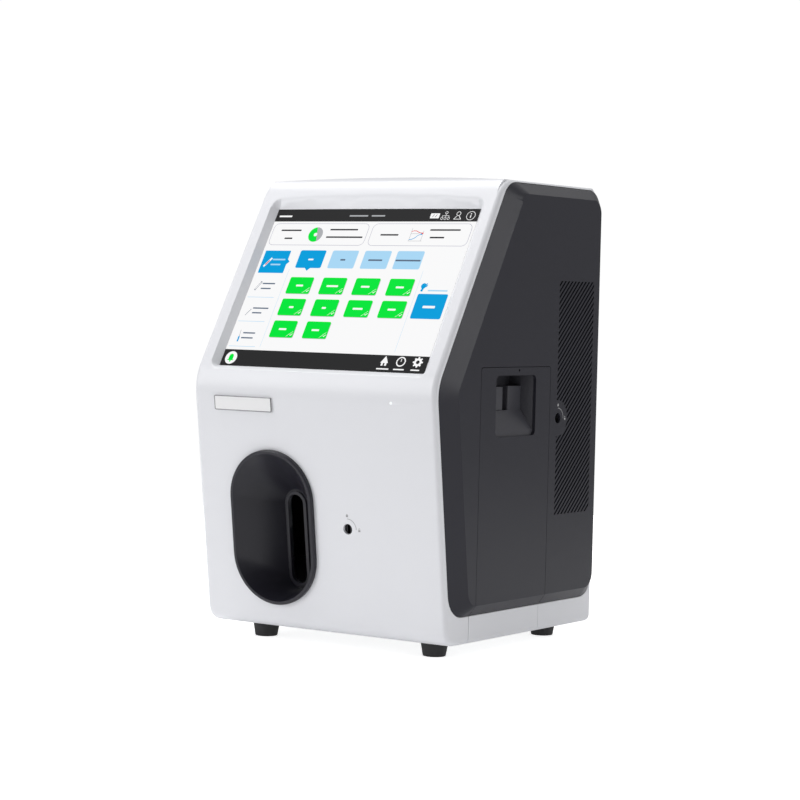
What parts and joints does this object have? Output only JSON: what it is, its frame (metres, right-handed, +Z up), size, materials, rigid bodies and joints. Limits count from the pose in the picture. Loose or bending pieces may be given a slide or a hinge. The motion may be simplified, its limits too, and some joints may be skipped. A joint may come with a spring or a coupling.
{
  "type": "blood gas analyzer",
  "caption": "Bench-top analyzer in a white case with dark side panels: sloped touch screen, oval sampling port with swinging probe, and a reagent pack that slides out sideways.",
  "frame": {"origin": "on the bench under the middle of the whole analyzer", "axes": "+Z up, the screen and sampling port face -Y, +X is to the right for a viewer in front, where the reagent pack slides out"},
  "size_m": [0.2614, 0.263, 0.4009],
  "materials": {
    "case_white": "fine satin moulded plastic",
    "panel_dark": "dark grey textured moulding",
    "bowl_dark": "dark grey smooth moulding",
    "sheet_steel": "zinc coated sheet",
    "foot_rubber": "matt black rubber",
    "screw_steel": "plated steel screws",
    "clear_glass": "clear touch glass",
    "screen_black": "black screen module",
    "board_green": "green board with black chips",
    "cable_grey": "flat grey cable",
    "badge_silver": "pale satin plate, blank",
    "light_lens": "small clear lens",
    "bare_aluminium": "machined aluminium",
    "needle_steel": "polished stainless tube",
    "motor_dark": "dark enamelled can",
    "lock_metal": "satin nickel",
    "pack_grey": "pale grey moulding",
    "bag_film": "filled translucent bag",
    "coupler_blue": "blue moulding",
    "card_cream": "cream card with round sensors",
    "clear_cover": "clear plastic cover",
    "tube_clear": "translucent silicone tube",
    "roller_white": "white low-friction plastic",
    "black_plastic": "black moulded plastic",
    "rocker_black": "glossy black rocker"
  },
  "bodies": {
    "case": {"front_shell": "case_white", "rear_cover": "case_white", "right_panel": "panel_dark", "left_panel": "panel_dark", "base_pan": "sheet_steel", "rubber_feet": "foot_rubber", "foot_screws": "screw_steel", "cover_screws": "screw_steel", "bulkhead": "sheet_steel", "top_rail": "sheet_steel", "touch_glass": "clear_glass", "lcd_module": "screen_black", "display_bracket": "sheet_steel", "display_screws": "screw_steel", "display_board": "board_green", "screen_cable": "cable_grey", "badge_plate": "badge_silver", "status_light": "light_lens", "probe_motor": "motor_dark", "probe_bracket": "sheet_steel", "sample_tube": "tube_clear", "front_lock_sleeve": "lock_metal", "side_lock_sleeve": "lock_metal", "pack_rails": "roller_white", "fluid_needles": "needle_steel", "measuring_block": "bare_aluminium", "sensor_card": "card_cream", "sensor_cover": "clear_cover", "pump_motor": "motor_dark", "pump_head": "pack_grey", "pump_tube": "tube_clear", "valve_plate": "bare_aluminium", "solenoid_valves": "motor_dark", "main_board": "board_green", "board_spacers": "screw_steel", "power_supply": "bare_aluminium", "power_inlet": "black_plastic", "data_ports": "black_plastic", "fan_shroud": "black_plastic", "fan_frames": "black_plastic"},
    "port": {"sampling_bowl": "bowl_dark"},
    "probe": {"probe_arm": "bare_aluminium", "sample_needle": "needle_steel"},
    "front_lock": {"front_lock": "lock_metal"},
    "side_lock": {"side_lock": "lock_metal"},
    "pack": {"pack_front": "panel_dark", "pack_skirt": "case_white", "grip_cup": "panel_dark", "pack_case": "pack_grey", "pack_end_cap": "pack_grey", "pack_coupler": "coupler_blue", "reagent_bags": "bag_film", "bag_tray": "pack_grey", "waste_bag": "bag_film"},
    "release": {"release_bar": "panel_dark"},
    "pump": {"pump_rotor": "roller_white", "pump_rollers": "roller_white"},
    "fan_lower": {"fan_rotor_lower": "black_plastic"},
    "fan_upper": {"fan_rotor_upper": "black_plastic"},
    "rocker": {"power_switch": "rocker_black"}
  },
  "joints": [
    {"name": "pack_slide", "type": "slide", "parent": "case", "child": "pack", "axis": [1, 0, 0], "range_m": [0, 0.13]},
    {"name": "release_slide", "type": "slide", "parent": "pack", "child": "release", "axis": [0, 1, 0], "range_m": [0, 0.005], "stiffness_N_per_m": 300},
    {"name": "bowl_slide", "type": "slide", "parent": "case", "child": "port", "axis": [0, -0.9914, -0.1305], "range_m": [0, 0.06]},
    {"name": "front_lock_turn", "type": "hinge", "parent": "case", "child": "front_lock", "pos_m": [0.031, -0.11322, 0.10496], "axis": [0, 0.9914, 0.1305], "range_deg": [0, 90]},
    {"name": "side_lock_turn", "type": "hinge", "parent": "case", "child": "side_lock", "pos_m": [0.1307, 0.0519, 0.19687], "axis": [-1, 0, 0], "range_deg": [0, 90]},
    {"name": "probe_swing", "type": "hinge", "parent": "case", "child": "probe", "pos_m": [-0.0456, -0.06759, 0.12922], "axis": [-1, 0, 0], "range_deg": [0, 62]},
    {"name": "pump_spin", "type": "hinge", "parent": "case", "child": "pump", "pos_m": [-0.04, 0.05837, 0.1235], "axis": [1, 0, 0], "continuous": true},
    {"name": "fan_spin_lower", "type": "hinge", "parent": "case", "child": "fan_lower", "pos_m": [0.1181, 0.0792, 0.158], "axis": [1, 0, 0], "continuous": true},
    {"name": "fan_spin_upper", "type": "hinge", "parent": "case", "child": "fan_upper", "pos_m": [0.1181, 0.0792, 0.207], "axis": [1, 0, 0], "continuous": true},
    {"name": "rocker_tilt", "type": "hinge", "parent": "case", "child": "rocker", "pos_m": [-0.0655, 0.1269, 0.0585], "axis": [1, 0, 0], "range_deg": [0, 16]}
  ]
}
